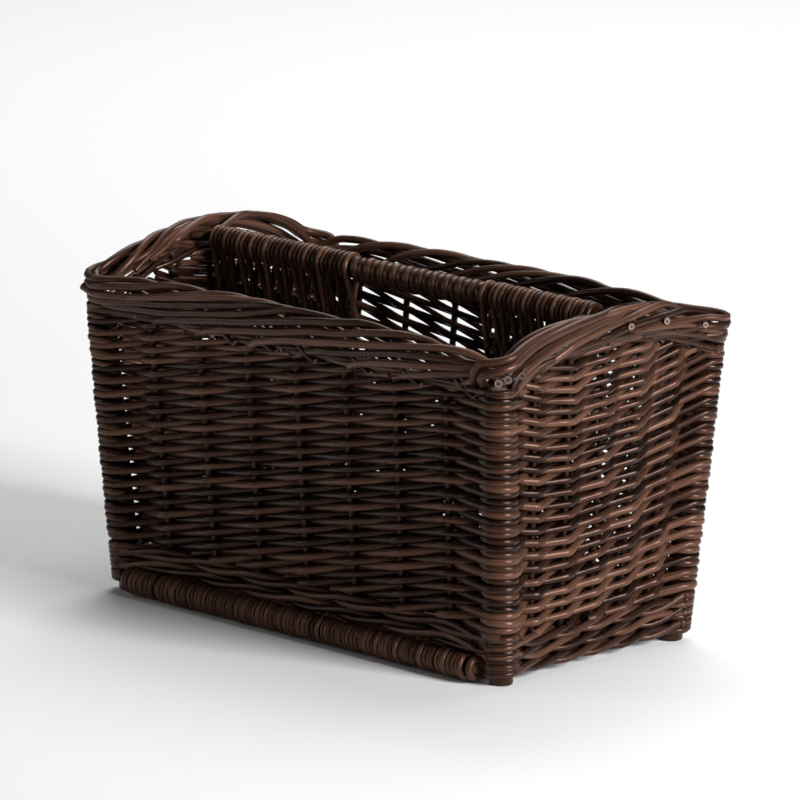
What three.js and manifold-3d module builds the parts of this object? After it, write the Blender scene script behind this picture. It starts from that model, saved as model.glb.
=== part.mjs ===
// A willow magazine basket: a rectangular body that flares towards its rim, arched ends,
// and a woven divider down the middle whose wrapped top bar is the handle.
// Millimetres, +Z up, +X along the basket, the front at -Y, the origin on the floor under its middle.
// The true weave is one of thin rods. Here each band of rods is one rib of a wall that is
// open where the basket is open, and the sticks that the rods go round are solids of their own.

import * as THREE from 'three';
import { mergeVertices } from 'three/addons/utils/BufferGeometryUtils.js';
import Module from 'manifold-3d';

const wasm = await Module();
wasm.setup();

// Body, measured from corner post centre to corner post centre
const rimLength = 391.5;
const rimWidth = 220;
const footLength = 369;
const footWidth = 179.5;
const wallHeight = 216;
const leftArchRise = 28;
const rightArchRise = 20.5;
const archFullness = 2.3;

// Clearances and overruns
const fitGap = 0.3;
const borderGap = 0.7;
const cutOverrun = 5;

// Corner posts and wall stakes
const postDiameter = 17;
const postFootRound = 1.6;
const stakeDiameter = 4.8;
const frontStakeCount = 7;
const endStakeCount = 5;

// Walls
const rodDiameter = 4.4;
const ribPitch = 12;
const ribDepth = 2.2;
const ribShoulderShare = 0.22;
const cornerWrapBottom = 5.5;

// Bottom wale, the slanting band that sets the walls up from the base
const waleRodDiameter = 5.4;
const waleHeight = 17;
const endWaleHeight = 27;
const endWaleBottom = 5.5;
const waleTwistLength = 190;
const waleLobeCount = 3;

// Rim border
const borderHeight = 22;
const borderWidth = 18;
const borderTwistLength = 330;
const borderLobeCount = 4;

// Base
const rollDiameter = 20.4;
const rollFloorGap = 1;
const rollOffset = 13;
const baseThickness = 12;
const baseWaist = 6.4;
const baseRibPitch = 20;
const edgeStickDiameter = 12;
const baseStickDiameter = 7;
const baseStickCount = 3;

// Divider and handle
const barDiameter = 14;
const barAboveBorderFoot = 8.05;
const wrapRodDiameter = 3;
const wrapRibDepth = 1.3;
const dividerRibPitch = 12;
const dividerStickDiameter = 6;
const dividerRodDiameter = 4;
const dividerStickCount = 3;
const dividerStickEdge = 10;
const sideStickShare = 0.47;
const handHoleLength = 132;
const handHoleHeight = 54;
const handHoleShift = 17.5;

// How finely round and bent shapes are faceted
const postSides = 10;
const stakeSides = 8;
const stickSides = 8;
const rollSides = 9;
const barSides = 12;
const archSteps = 16;
const ropeStep = 20;

// Values that follow from the sizes above
const halfLength = rimLength / 2;
const halfWidth = rimWidth / 2;
const lengthDrawIn = (rimLength - footLength) / 2;
const widthDrawIn = (rimWidth - footWidth) / 2;
const wallThickness = stakeDiameter + 2 * rodDiameter;
const waleThickness = stakeDiameter + 2 * waleRodDiameter;
const wrapRadius = postDiameter / 2 + rodDiameter;
const rollRadius = rollDiameter / 2;
const baseHeight = rollFloorGap + rollRadius;
const baseTop = baseHeight + baseThickness / 2;
const rollTop = baseHeight + rollRadius;
const barWrapRadius = barDiameter / 2 + wrapRodDiameter;
const meanArchRise = (leftArchRise + rightArchRise) / 2;
const barHeight = wallHeight + meanArchRise + borderGap + barAboveBorderFoot;
const handHoleBottom = barHeight - barWrapRadius - handHoleHeight;
const dividerThickness = dividerStickDiameter + 2 * dividerRodDiameter;
const dividerSideStickHeight = handHoleBottom + sideStickShare * (barHeight - handHoleBottom);
const dividerTopStickHeight = handHoleBottom - dividerStickEdge;
const dividerStickSpacing = (dividerTopStickHeight - baseTop) / dividerStickCount;
const fullTurn = 2 * Math.PI;

// The four walls. Each is modelled facing -Y in a frame of its own, then turned to its side.
const walls = [
  {
    name: 'front', turn: 0, reach: halfWidth, halfRun: halfLength,
    drawAlong: lengthDrawIn, drawAcross: widthDrawIn, rise: 0, stakeCount: frontStakeCount,
    waleBottom: rollTop + fitGap, waleHeight,
  },
  {
    name: 'right', turn: fullTurn / 4, reach: halfLength, halfRun: halfWidth,
    drawAlong: widthDrawIn, drawAcross: lengthDrawIn, rise: rightArchRise, stakeCount: endStakeCount,
    waleBottom: endWaleBottom, waleHeight: endWaleHeight,
  },
  {
    name: 'back', turn: fullTurn / 2, reach: halfWidth, halfRun: halfLength,
    drawAlong: lengthDrawIn, drawAcross: widthDrawIn, rise: 0, stakeCount: frontStakeCount,
    waleBottom: rollTop + fitGap, waleHeight,
  },
  {
    name: 'left', turn: -fullTurn / 4, reach: halfLength, halfRun: halfWidth,
    drawAlong: widthDrawIn, drawAcross: lengthDrawIn, rise: leftArchRise, stakeCount: endStakeCount,
    waleBottom: endWaleBottom, waleHeight: endWaleHeight,
  },
];

// Finishes: dark stained willow, a little lighter where the rods are thick or handled
const postFinish = { color: 0x33231c, roughness: 0.42 };
const weaveFinish = { color: 0x2c1f19, roughness: 0.5 };
const borderFinish = { color: 0x3a2921, roughness: 0.45 };
const stakeFinish = { color: 0x2a1d17, roughness: 0.55 };
const handleFinish = { color: 0x3b2b23, roughness: 0.45 };

const basket = new THREE.Group();
basket.name = 'magazine_basket';

// Adds one named piece to a group, with a material of its own.
function addPiece(group, name, geometry, finish) {
  const material = new THREE.MeshStandardMaterial({ ...finish, metalness: 0 });
  const piece = new THREE.Mesh(geometry, material);
  piece.name = name;
  group.add(piece);
  return piece;
}

// Turns a closed mesh into a solid that can be cut and joined.
function solidOf(geometry) {
  const bare = geometry.clone();
  bare.deleteAttribute('normal');
  bare.deleteAttribute('uv');
  const merged = mergeVertices(bare);
  return new wasm.Manifold(new wasm.Mesh({
    numProp: 3,
    vertProperties: new Float32Array(merged.attributes.position.array),
    triVerts: new Uint32Array(merged.index.array),
  }));
}

// Turns a solid back into a mesh.
function geometryOf(solid) {
  const mesh = solid.getMesh();
  const geometry = new THREE.BufferGeometry();
  geometry.setAttribute('position', new THREE.BufferAttribute(mesh.vertProperties, mesh.numProp));
  geometry.setIndex(new THREE.BufferAttribute(mesh.triVerts, 1));
  geometry.computeVertexNormals();
  return geometry;
}

// Cuts every cutter out of a shape.
function cutAway(geometry, cutters) {
  return geometryOf(cutters.reduce((solid, cutter) => solid.subtract(solidOf(cutter)), solidOf(geometry)));
}

// Moves every point of a shape by a rule that is given its place.
function reshape(geometry, rule) {
  const places = geometry.attributes.position;
  const point = new THREE.Vector3();
  for (let i = 0; i < places.count; i += 1) {
    point.fromBufferAttribute(places, i);
    rule(point);
    places.setXYZ(i, point.x, point.y, point.z);
  }
  geometry.computeVertexNormals();
  return geometry;
}

// How far above the rim a height is, as a share of the wall height. It is below zero under the rim.
function riseShare(height) {
  return (height - wallHeight) / wallHeight;
}

// Leans a shape with its wall. shareAt says how much of the lengthwise flare each place takes.
function leanWithWall(geometry, wall, shareAt) {
  return reshape(geometry, (point) => {
    const lean = riseShare(point.z);
    point.x += shareAt(point.x) * wall.drawAlong * lean;
    point.y -= wall.drawAcross * lean;
  });
}

// Leans a piece of the divider with the ends of the basket.
function leanWithDivider(geometry) {
  return reshape(geometry, (point) => {
    point.x += (point.x / halfLength) * lengthDrawIn * riseShare(point.z);
  });
}

// The height that a wall's arch adds at a distance from its middle.
function archAt(wall, along) {
  const share = Math.min(Math.abs(along) / wall.halfRun, 1);
  return wall.rise * (1 - share ** archFullness);
}

// Turns a shape that was extruded along Z so that it runs along X, with its own Y up.
function layAlongX(geometry) {
  const across = new THREE.Vector3(0, 1, 0);
  const up = new THREE.Vector3(0, 0, 1);
  const along = new THREE.Vector3(1, 0, 0);
  return geometry.applyMatrix4(new THREE.Matrix4().makeBasis(across, up, along));
}

// The places of the ribs over a length: valley, shoulder, shoulder, and so on to the last valley.
function ribStations(start, length, pitch, depth) {
  const count = Math.max(Math.round(length / pitch), 1);
  const step = length / count;
  const stations = [];
  for (let i = 0; i < count; i += 1) {
    stations.push({ place: start + i * step, sunk: depth });
    stations.push({ place: start + (i + ribShoulderShare) * step, sunk: 0 });
    stations.push({ place: start + (i + 1 - ribShoulderShare) * step, sunk: 0 });
  }
  stations.push({ place: start + length, sunk: depth });
  return stations;
}

// The outline of a ribbed slab: ribs one above the other on both of its faces.
function ribbedOutline(stations, thickness) {
  const near = stations.map(({ place, sunk }) => new THREE.Vector2(thickness / 2 - sunk, place));
  const far = stations.map(({ place, sunk }) => new THREE.Vector2(sunk - thickness / 2, place));
  return new THREE.Shape([...near, ...far.reverse()]);
}

// Extrudes an outline along Z, centred on Z.
function extrudeCentred(outline, length, steps = 1) {
  const geometry = new THREE.ExtrudeGeometry(outline, { depth: length, steps, bevelEnabled: false });
  return geometry.translate(0, 0, -length / 2);
}

// A ribbed sleeve round the Z axis, from a start height, with an open bore.
function ribbedSleeve(start, length, pitch, boreRadius, crestRadius, depth, sides) {
  const count = Math.max(Math.round(length / pitch), 1);
  const step = length / count;
  const profile = [new THREE.Vector2(crestRadius - depth, start)];
  for (let i = 0; i < count; i += 1) {
    profile.push(new THREE.Vector2(crestRadius, start + (i + 1 / 2) * step));
    profile.push(new THREE.Vector2(crestRadius - depth, start + (i + 1) * step));
  }
  profile.push(new THREE.Vector2(boreRadius, start + length));
  profile.push(new THREE.Vector2(boreRadius, start));
  profile.push(profile[0].clone());
  return new THREE.LatheGeometry(profile, sides).rotateX(fullTurn / 4);
}

// A straight stick along X, centred.
function stickAlongX(diameter, length, sides = stickSides) {
  const stick = new THREE.CylinderGeometry(diameter / 2, diameter / 2, length, sides);
  return stick.rotateZ(fullTurn / 4);
}

// An upright rod between two heights.
function uprightRod(diameter, bottom, top, sides) {
  const rod = new THREE.CylinderGeometry(diameter / 2, diameter / 2, top - bottom, sides);
  return rod.rotateX(fullTurn / 4).translate(0, 0, (bottom + top) / 2);
}

// The section of a band of twisted rods, one lobe for each rod, one unit in radius.
function lobedOutline(lobeCount) {
  const valleyShare = 0.72;
  const crestHalfShare = 0.26;
  const points = [];
  for (let i = 0; i < lobeCount; i += 1) {
    [[i - crestHalfShare, 1], [i + crestHalfShare, 1], [i + 1 / 2, valleyShare]].forEach(([turn, radius]) => {
      const angle = (turn / lobeCount) * fullTurn;
      points.push(new THREE.Vector2(radius * Math.cos(angle), radius * Math.sin(angle)));
    });
  }
  return new THREE.Shape(points);
}

// A band of rods twisted along X. Its outer strands climb towards +X.
function twistedBand(length, width, height, lobeCount, twistLength) {
  const steps = Math.max(Math.round(length / ropeStep), 2);
  const band = extrudeCentred(lobedOutline(lobeCount), length, steps);
  reshape(band, (point) => {
    const angle = (-point.z / twistLength) * fullTurn;
    const { x, y } = point;
    point.x = (x * Math.cos(angle) - y * Math.sin(angle)) * (width / 2);
    point.y = (x * Math.sin(angle) + y * Math.cos(angle)) * (height / 2);
  });
  return layAlongX(band);
}

// Corner post: a thick rod with a flat foot whose lower edge is rounded off.
function cornerPost(wall, end) {
  const radius = postDiameter / 2;
  const profile = [
    new THREE.Vector2(0, 0),
    new THREE.Vector2(radius - postFootRound, 0),
    new THREE.Vector2(radius, postFootRound),
    new THREE.Vector2(radius, wallHeight),
    new THREE.Vector2(0, wallHeight),
  ];
  const post = new THREE.LatheGeometry(profile, postSides).rotateX(fullTurn / 4);
  post.translate(end * wall.halfRun, 0, 0);
  return leanWithWall(post, wall, () => end);
}

// The rods where they turn round a corner post.
function cornerWrap(wall, end) {
  const wrap = ribbedSleeve(
    cornerWrapBottom,
    wallHeight - cornerWrapBottom,
    ribPitch,
    postDiameter / 2 + fitGap,
    wrapRadius,
    ribDepth,
    postSides,
  );
  wrap.translate(end * wall.halfRun, 0, 0);
  return leanWithWall(wrap, wall, () => end);
}

// Where the stakes of a wall stand along it.
function stakePlaces(wall) {
  const spacing = (2 * wall.halfRun) / (wall.stakeCount + 1);
  return Array.from({ length: wall.stakeCount }, (_, i) => (i + 1) * spacing - wall.halfRun);
}

// One stake, or with a clearance the tunnel that it stands in.
function stakeShape(wall, along, diameter, bottom, top) {
  const stake = uprightRod(diameter, bottom, top, stakeSides).translate(along, 0, 0);
  return leanWithWall(stake, wall, () => along / wall.halfRun);
}

// The tunnels that every stake of a wall needs.
function stakeTunnels(wall) {
  const top = wallHeight + wall.rise + cutOverrun;
  return stakePlaces(wall).map(
    (along) => stakeShape(wall, along, stakeDiameter + 2 * fitGap, -cutOverrun, top),
  );
}

// The plate that keeps what lies under a wall's arch.
function archPlate(wall, halfSpan) {
  const outline = [new THREE.Vector2(-halfSpan, 0), new THREE.Vector2(halfSpan, 0)];
  for (let i = 0; i <= archSteps; i += 1) {
    const along = halfSpan - (2 * halfSpan * i) / archSteps;
    outline.push(new THREE.Vector2(along, wallHeight + archAt(wall, along)));
  }
  return extrudeCentred(new THREE.Shape(outline), 2 * wallThickness).rotateX(fullTurn / 4);
}

// The plain weave of one wall, from its wale to its rim.
function wallWeave(wall) {
  const halfSpan = wall.halfRun - wrapRadius - fitGap;
  const bottom = wall.waleBottom + wall.waleHeight + fitGap;
  const stations = ribStations(bottom, wallHeight + wall.rise - bottom, ribPitch, ribDepth);
  let panel = layAlongX(extrudeCentred(ribbedOutline(stations, wallThickness), 2 * halfSpan));
  if (wall.rise > 0) {
    panel = geometryOf(solidOf(panel).intersect(solidOf(archPlate(wall, halfSpan + cutOverrun))));
  }
  leanWithWall(panel, wall, (along) => along / halfSpan);
  return cutAway(panel, stakeTunnels(wall));
}

// The bottom wale of one wall.
function wallWale(wall) {
  const halfSpan = wall.halfRun - wrapRadius - fitGap;
  const wale = twistedBand(2 * halfSpan, waleThickness, wall.waleHeight, waleLobeCount, waleTwistLength);
  wale.translate(0, 0, wall.waleBottom + wall.waleHeight / 2);
  leanWithWall(wale, wall, (along) => along / halfSpan);
  return cutAway(wale, stakeTunnels(wall));
}

// The rim border of one wall. It follows the arch and meets its neighbours on a mitre.
function wallBorder(wall) {
  const halfSpan = wall.halfRun - fitGap;
  const border = twistedBand(2 * halfSpan, borderWidth, borderHeight, borderLobeCount, borderTwistLength);
  return reshape(border, (point) => {
    const share = point.x / wall.halfRun;
    const height = point.z + wallHeight + borderGap + borderHeight / 2 + archAt(wall, point.x);
    const lean = riseShare(height);
    point.x += share * (wall.drawAlong * lean - point.y);
    point.y -= wall.drawAcross * lean;
    point.z = height;
  });
}

// One wall with its stakes, in a group that is turned to its side of the basket.
function buildWall(wall) {
  const group = new THREE.Group();
  group.rotation.z = wall.turn;
  const pieces = [
    addPiece(group, `${wall.name}_wall_weave`, wallWeave(wall), weaveFinish),
    addPiece(group, `${wall.name}_wale`, wallWale(wall), weaveFinish),
    addPiece(group, `${wall.name}_border`, wallBorder(wall), borderFinish),
  ];
  stakePlaces(wall).forEach((along, i) => {
    const bottom = wall.waleBottom + fitGap;
    const top = wallHeight + archAt(wall, Math.abs(along) + stakeDiameter / 2);
    const stake = stakeShape(wall, along, stakeDiameter, bottom, top);
    pieces.push(addPiece(group, `${wall.name}_stake_${i + 1}`, stake, stakeFinish));
  });
  pieces.forEach((piece) => piece.position.setY(-wall.reach));
  basket.add(group);
  return group;
}

// The two corner posts at the ends of a long wall, each with the rods that turn round it.
function buildCorners(wall, group, endNames) {
  [-1, 1].forEach((end, i) => {
    const corner = `${wall.name}_${endNames[i]}`;
    const pieces = [
      addPiece(group, `corner_post_${corner}`, cornerPost(wall, end), postFinish),
      addPiece(group, `corner_wrap_${corner}`, cornerWrap(wall, end), weaveFinish),
    ];
    pieces.forEach((piece) => piece.position.setY(-wall.reach));
  });
}

// The places across the base of the sticks between the rolls.
function baseStickPlaces(rollPlace) {
  const spacing = (2 * rollPlace) / (baseStickCount + 1);
  return Array.from({ length: baseStickCount }, (_, i) => (i + 1) * spacing - rollPlace);
}

// The base's section: a round roll along each long side, and between them a middle that is
// thick where the rods cross a stick and thin halfway to the next one.
function baseOutline(rollPlace) {
  const joinAngle = Math.asin(baseThickness / 2 / rollRadius);
  const sweep = fullTurn - 2 * joinAngle;
  const places = baseStickPlaces(rollPlace);
  const points = [];
  [1, -1].forEach((side) => {
    for (let i = 0; i <= rollSides; i += 1) {
      const angle = joinAngle - fullTurn / 2 + (sweep * i) / rollSides;
      const across = side * (rollPlace + rollRadius * Math.cos(angle));
      points.push(new THREE.Vector2(across, side * rollRadius * Math.sin(angle)));
    }
    for (let i = 0; i < 2 * baseStickCount - 1; i += 1) {
      const half = i % 2 === 0 ? baseThickness / 2 : baseWaist / 2;
      const before = places[baseStickCount - 1 - Math.floor(i / 2)];
      const after = places[baseStickCount - 1 - Math.ceil(i / 2)];
      points.push(new THREE.Vector2((side * (before + after)) / 2, side * half));
    }
  });
  return new THREE.Shape(points);
}

// The base weave: rods laid crosswise that turn round the thick stick along each long side.
function baseWeave(halfSpan, rollPlace) {
  const ribCount = Math.round((2 * halfSpan) / baseRibPitch);
  const step = halfSpan / ribCount;
  const weave = extrudeCentred(baseOutline(rollPlace), 2 * halfSpan, 2 * ribCount);
  reshape(weave, (point) => {
    const station = Math.round((point.z + halfSpan) / step);
    if (station % 2 === 1) return;
    const side = Math.sign(point.x);
    const middle = new THREE.Vector2(Math.min(Math.abs(point.x), rollPlace) * side, 0);
    const outward = new THREE.Vector2(point.x, point.y).sub(middle);
    const sunk = outward.clone().setLength(outward.length() - ribDepth).add(middle);
    point.x = sunk.x;
    point.y = sunk.y;
  });
  return layAlongX(weave).translate(0, 0, baseHeight);
}

// The base: its weave, the thick edge sticks inside the rolls, and the sticks between them.
function buildBase() {
  const rollPlace = footWidth / 2 + rollOffset;
  const cornerPlace = footLength / 2 + lengthDrawIn * (cornerWrapBottom / wallHeight);
  const weaveHalf = cornerPlace - wrapRadius - fitGap;
  const stickHalf = cornerPlace - waleThickness / 2 - fitGap;
  const bores = [];
  ['front', 'back'].forEach((name, i) => {
    const place = (2 * i - 1) * rollPlace;
    const stick = stickAlongX(edgeStickDiameter, 2 * weaveHalf).translate(0, place, baseHeight);
    addPiece(basket, `base_edge_stick_${name}`, stick, stakeFinish);
    const bore = stickAlongX(edgeStickDiameter + 2 * fitGap, 2 * (weaveHalf + cutOverrun));
    bores.push(bore.translate(0, place, baseHeight));
  });
  baseStickPlaces(rollPlace).forEach((place, i) => {
    const stick = stickAlongX(baseStickDiameter, 2 * stickHalf).translate(0, place, baseHeight);
    addPiece(basket, `base_stick_${i + 1}`, stick, stakeFinish);
    const bore = stickAlongX(baseStickDiameter + 2 * fitGap, 2 * (stickHalf + cutOverrun));
    bores.push(bore.translate(0, place, baseHeight));
  });
  addPiece(basket, 'base_weave', cutAway(baseWeave(weaveHalf, rollPlace), bores), weaveFinish);
}

// One horizontal stick of the divider between two places, or with a clearance its tunnel.
function dividerStick(start, end, height, clearance) {
  const stick = stickAlongX(dividerStickDiameter + 2 * clearance, end - start);
  stick.translate((start + end) / 2, 0, height);
  return leanWithDivider(stick);
}

// The heights of the divider's full-length sticks, from the one under the hand hole down.
function dividerStickHeights() {
  return Array.from(
    { length: dividerStickCount },
    (_, i) => dividerTopStickHeight - i * dividerStickSpacing,
  );
}

// A panel of upright rods between two places along the divider.
function dividerPanel(start, end, bottom, top) {
  const stations = ribStations(start, end - start, dividerRibPitch, wrapRibDepth);
  const panel = extrudeCentred(ribbedOutline(stations, dividerThickness), top - bottom);
  return panel.rotateZ(-fullTurn / 4).translate(0, 0, (bottom + top) / 2);
}

// The rods where they are wound over the handle bar between two places.
function barWrap(start, end, pitch) {
  const wrap = ribbedSleeve(
    start,
    end - start,
    pitch,
    barDiameter / 2 + fitGap,
    barWrapRadius,
    wrapRibDepth,
    barSides,
  );
  return wrap.rotateY(fullTurn / 4).translate(0, 0, barHeight);
}

// The divider: the bar, the grip over the hand hole, three woven panels and their sticks.
function buildDivider() {
  const barHalf = halfLength - borderWidth / 2 - fitGap;
  const stickHalf = halfLength - wallThickness / 2 - fitGap;
  const holeStart = handHoleShift - handHoleLength / 2;
  const holeEnd = handHoleShift + handHoleLength / 2;
  const bottom = baseTop + fitGap;
  const bar = stickAlongX(barDiameter, 2 * barHalf, barSides).translate(0, 0, barHeight);
  addPiece(basket, 'handle_bar', leanWithDivider(bar), handleFinish);
  const grip = barWrap(holeStart + fitGap, holeEnd - fitGap, dividerRibPitch);
  addPiece(basket, 'handle_grip_wrap', leanWithDivider(grip), handleFinish);

  const stickHeights = dividerStickHeights();
  const tunnels = stickHeights.map(
    (height) => dividerStick(-stickHalf - cutOverrun, stickHalf + cutOverrun, height, fitGap),
  );
  stickHeights.forEach((height, i) => {
    const stick = dividerStick(-stickHalf, stickHalf, height, 0);
    addPiece(basket, `divider_stick_${i + 1}`, stick, stakeFinish);
  });
  const lower = dividerPanel(holeStart + fitGap, holeEnd - fitGap, bottom, handHoleBottom);
  addPiece(basket, 'divider_weave_middle', cutAway(leanWithDivider(lower), tunnels), weaveFinish);

  [['left', -1, holeStart], ['right', 1, holeEnd]].forEach(([name, side, edge]) => {
    const ends = [side * barHalf, edge].sort((a, b) => a - b);
    const panel = solidOf(dividerPanel(...ends, bottom, barHeight - barDiameter / 4));
    const whole = geometryOf(panel.add(solidOf(barWrap(...ends, dividerRibPitch))));
    const barBore = stickAlongX(barDiameter + 2 * fitGap, 2 * (barHalf + cutOverrun), barSides);
    barBore.translate(0, 0, barHeight);
    const stickEnds = [side * stickHalf, edge].sort((a, b) => a - b);
    const tunnel = dividerStick(
      stickEnds[0] - cutOverrun,
      stickEnds[1] + cutOverrun,
      dividerSideStickHeight,
      fitGap,
    );
    const woven = cutAway(leanWithDivider(whole), [...tunnels, tunnel, barBore]);
    addPiece(basket, `divider_weave_${name}`, woven, weaveFinish);
    const sideStick = dividerStick(...stickEnds, dividerSideStickHeight, 0);
    addPiece(basket, `divider_side_stick_${name}`, sideStick, stakeFinish);
  });
}

const groups = walls.map(buildWall);
buildCorners(walls[0], groups[0], ['left', 'right']);
buildCorners(walls[2], groups[2], ['right', 'left']);
buildBase();
buildDivider();

export default basket;
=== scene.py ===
# %% [markdown]
# A dark willow basket with a divider that is also its handle, made in Blender over a CAD frame.
#
# A wicker basket is one long lesson in the same shape: a thin round rod that follows a path.
# Every wall, the rim, the base and the handle are rods that pass in front of one upright
# and behind the next. So most of this file works out paths, and one helper lays a rod along each.

# %% Load the fixed frame
import math
import random

import bmesh
import bpy
import numpy as np
from mathutils import Matrix, Vector


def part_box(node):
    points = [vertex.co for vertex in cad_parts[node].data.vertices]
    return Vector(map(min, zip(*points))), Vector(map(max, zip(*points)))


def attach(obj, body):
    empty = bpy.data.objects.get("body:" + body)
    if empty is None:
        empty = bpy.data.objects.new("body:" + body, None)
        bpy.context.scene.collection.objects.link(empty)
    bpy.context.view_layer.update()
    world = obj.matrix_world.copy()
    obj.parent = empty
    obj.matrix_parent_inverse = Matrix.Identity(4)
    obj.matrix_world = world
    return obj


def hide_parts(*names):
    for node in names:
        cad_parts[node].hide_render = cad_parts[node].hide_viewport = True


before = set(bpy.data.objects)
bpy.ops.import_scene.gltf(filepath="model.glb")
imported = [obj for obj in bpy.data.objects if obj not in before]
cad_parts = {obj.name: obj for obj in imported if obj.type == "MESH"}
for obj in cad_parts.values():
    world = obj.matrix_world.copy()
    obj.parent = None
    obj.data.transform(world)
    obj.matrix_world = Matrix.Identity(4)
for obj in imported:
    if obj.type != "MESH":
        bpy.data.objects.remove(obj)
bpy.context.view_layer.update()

scene = bpy.context.scene

# %% [markdown]
# The rods are worked out in millimetres, because a basket maker thinks in rods of 4 or 5 mm.
# The sizes that the frame already holds are read from it, so that the rods lie where the CAD
# pieces lie: a corner post's box gives the footprint at the floor and at the rim.

# %% Sizes read from the frame
MM = 0.001
FULL = 2 * math.pi
WALLS = ("front", "right", "back", "left")
CORNERS = ("front_left", "front_right", "back_right", "back_left")
POST_RADIUS = 8.5
STAKE_RADIUS = 2.4


def box_mm(node):
    low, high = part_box(node)
    return np.array(low) / MM, np.array(high) / MM


def middle_mm(node):
    low, high = box_mm(node)
    return (low + high) / 2


post_low, post_high = box_mm("corner_post_front_right")
WALL_TOP = post_high[2]
RIM_HALF = np.array([post_high[0] - POST_RADIUS, -post_low[1] - POST_RADIUS])
FOOT_HALF = np.array([post_low[0] + POST_RADIUS, -post_high[1] + POST_RADIUS])
rim_top = box_mm("front_border")[1][2]
ARCH_RISE = {1: box_mm("right_border")[1][2] - rim_top, 3: box_mm("left_border")[1][2] - rim_top}
print("wall top", round(WALL_TOP, 1), "rim half", RIM_HALF.round(1), "foot half", FOOT_HALF.round(1))

# %% [markdown]
# Twenty-eight uprights stand round the basket: four corner posts, seven stakes in each long
# side and five in each end. They are numbered in the order in which a weaver meets them,
# starting at the front left post and going to the right. A place between two uprights is
# then a number with a fraction, and walls lean outwards, so every place also depends on height.

# %% Uprights round the basket
CORNER_SIGNS = [(-1, -1), (1, -1), (1, 1), (-1, 1)]
STAKES = [7, 5, 7, 5]
ALONG = [np.array(v, float) for v in ((1, 0), (0, 1), (-1, 0), (0, -1))]
OUT = [np.array(v, float) for v in ((0, -1), (1, 0), (0, 1), (-1, 0))]
FIRST = [0, 8, 14, 22]
UPRIGHTS = 28


def is_long(wall):
    """Walls 0 and 2 are the front and the back. Walls 1 and 3 are the short ends."""
    return wall % 2 == 0


def is_corner(number):
    return number % UPRIGHTS in FIRST


def wall_end(wall):
    """The number of the corner post at which a wall ends, counted on from its first one."""
    return FIRST[wall] + STAKES[wall] + 1


def corner_at(wall, height):
    """The corner post at which a wall starts."""
    share = height / WALL_TOP
    half = FOOT_HALF + (RIM_HALF - FOOT_HALF) * share
    return np.array(CORNER_SIGNS[wall % 4]) * half


def wall_of(place):
    """The wall a place is on, and how far along that wall it is, from 0 to 1."""
    place = place % UPRIGHTS
    wall = max(w for w in range(4) if FIRST[w] <= place + 1e-9)
    return wall, (place - FIRST[wall]) / (STAKES[wall] + 1)


def upright_at(number, height):
    wall, share = wall_of(number)
    start, end = corner_at(wall, height), corner_at(wall + 1, height)
    return start + (end - start) * share


def spans_to_corner(place):
    wall, share = wall_of(place)
    return min(share, 1 - share) * (STAKES[wall] + 1)


print("uprights:", UPRIGHTS, "first stake at the foot:", upright_at(1, 0.0).round(1))

# %% [markdown]
# The rim is level along the two long sides and arches up over the short ends. A power of the
# distance from the middle gives the arch: 2 is a parabola, and a little more makes it fuller.

# %% The arches of the short ends
ARCH_POWER = 2.3


def arch_at(place):
    wall, share = wall_of(place)
    if is_long(wall):
        return 0.0
    return ARCH_RISE[wall] * (1 - abs(2 * share - 1) ** ARCH_POWER)


print("arches over the right and the left end:", round(arch_at(11), 1), round(arch_at(25), 1))

# %% [markdown]
# One rod is a curve with a round bevel: Blender sweeps a circle along it, and each point has a
# radius of its own, so a rod can taper from its butt to its tip. All rods of a piece are splines
# of one curve, which is then made a mesh.

# %% Sweep rods along their paths
def sweep_rods(name, rods, sides):
    """rods is a list of (points in mm, radii in mm, tone from 0 for dark to about 1 for light)."""
    curve = bpy.data.curves.new(name, "CURVE")
    curve.dimensions = "3D"
    curve.bevel_depth = 1.0
    curve.bevel_resolution = sides // 2 - 2
    for points, radii, _ in rods:
        spline = curve.splines.new("POLY")
        spline.points.add(len(points) - 1)
        spline.points.foreach_set("co", np.c_[points * MM, np.ones(len(points))].ravel())
        spline.points.foreach_set("radius", np.asarray(radii, float) * MM)
    holder = bpy.data.objects.new(name + "_path", curve)
    scene.collection.objects.link(holder)
    depsgraph = bpy.context.evaluated_depsgraph_get()
    mesh = bpy.data.meshes.new_from_object(holder.evaluated_get(depsgraph))
    bpy.data.objects.remove(holder)
    bpy.data.curves.remove(curve)
    return mesh


# %% [markdown]
# Streaks of stain run along a rod, so each rod needs a map of its own. Blender gives the tubes a
# map from 0 to 1, which is stretched here to metres along and round the rod. Each rod starts at
# another place in the pattern, and a value called tone gives it its own shade.

# %% Map the pattern along the rods
ROUND_ROD = 0.0144
PATTERN_STEP = 0.731


def map_rods(mesh, rods, sides):
    counts = np.array([len(points) for points, _, _ in rods])
    lengths = [np.linalg.norm(np.diff(points, axis=0), axis=1) for points, _, _ in rods]
    reach = np.concatenate([np.r_[0, np.cumsum(length)] for length in lengths]) * MM
    starts = np.r_[0, np.cumsum(counts)[:-1]]
    rod_of = np.repeat(np.arange(len(rods)), (counts - 1) * sides * 4)
    layer = mesh.uv_layers[0]
    layer.name = "rod_map"
    uv = np.empty(len(mesh.loops) * 2)
    layer.data.foreach_get("uv", uv)
    uv = uv.reshape(-1, 2)
    step = np.rint(uv[:, 0] * (counts[rod_of] - 1)).astype(int)
    uv[:, 0] = reach[starts[rod_of] + step] + rod_of * PATTERN_STEP
    uv[:, 1] *= ROUND_ROD
    layer.data.foreach_set("uv", uv.ravel())
    tones = np.repeat([tone for _, _, tone in rods], counts * sides).astype(np.float32)
    mesh.attributes.new("tone", "FLOAT", "POINT").data.foreach_set("value", tones)
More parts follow.
